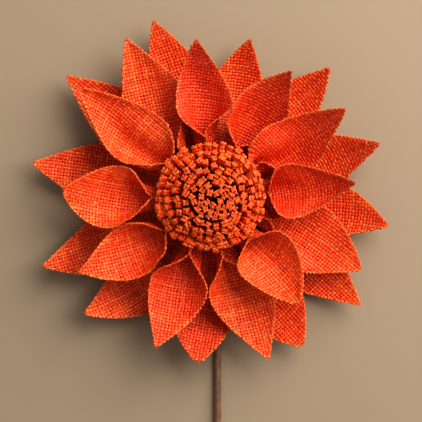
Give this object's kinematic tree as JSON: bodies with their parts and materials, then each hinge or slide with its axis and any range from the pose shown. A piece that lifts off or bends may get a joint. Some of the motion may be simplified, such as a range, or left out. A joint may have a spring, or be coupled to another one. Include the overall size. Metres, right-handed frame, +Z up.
{
  "type": "artificial burlap flower on a taped wire stem",
  "caption": "Artificial flower lying face up: pointed burlap petals in two tiers round a centre of rolled, fringed burlap, on a stem of tape-wrapped wire bent flat behind the head.",
  "frame": {"origin": "middle of the bounding box's base, on the surface that the flower lies on; the head's middle is 101 mm from it towards +Y", "axes": "+Z up, out of the flower's face; -Y along the stem, away from the head; +X to the right as the picture shows the flower"},
  "size_m": [0.177, 0.3778, 0.0375],
  "materials": {
    "petal_upper": "matt, coarsely woven, dyed orange",
    "petal_lower": "matt, coarsely woven, dyed orange",
    "center_fringe": "matt, cut and frayed, dyed orange",
    "back_disc": "matt felt",
    "stem_tape": "crepe paper tape, slight sheen",
    "stem_wire": "cut end"
  },
  "bodies": {
    "root": {"petal_upper_01": "petal_upper", "petal_upper_02": "petal_upper", "petal_upper_03": "petal_upper", "petal_upper_04": "petal_upper", "petal_upper_05": "petal_upper", "petal_upper_06": "petal_upper", "petal_upper_07": "petal_upper", "petal_upper_08": "petal_upper", "petal_upper_09": "petal_upper", "petal_upper_10": "petal_upper", "petal_upper_11": "petal_upper", "petal_upper_12": "petal_upper", "petal_lower_01": "petal_lower", "petal_lower_02": "petal_lower", "petal_lower_03": "petal_lower", "petal_lower_04": "petal_lower", "petal_lower_05": "petal_lower", "petal_lower_06": "petal_lower", "petal_lower_07": "petal_lower", "petal_lower_08": "petal_lower", "petal_lower_09": "petal_lower", "petal_lower_10": "petal_lower", "petal_lower_11": "petal_lower", "petal_lower_12": "petal_lower", "center_fringe": "center_fringe", "back_disc": "back_disc", "stem_tape": "stem_tape", "stem_wire": "stem_wire"}
  },
  "joints": []
}
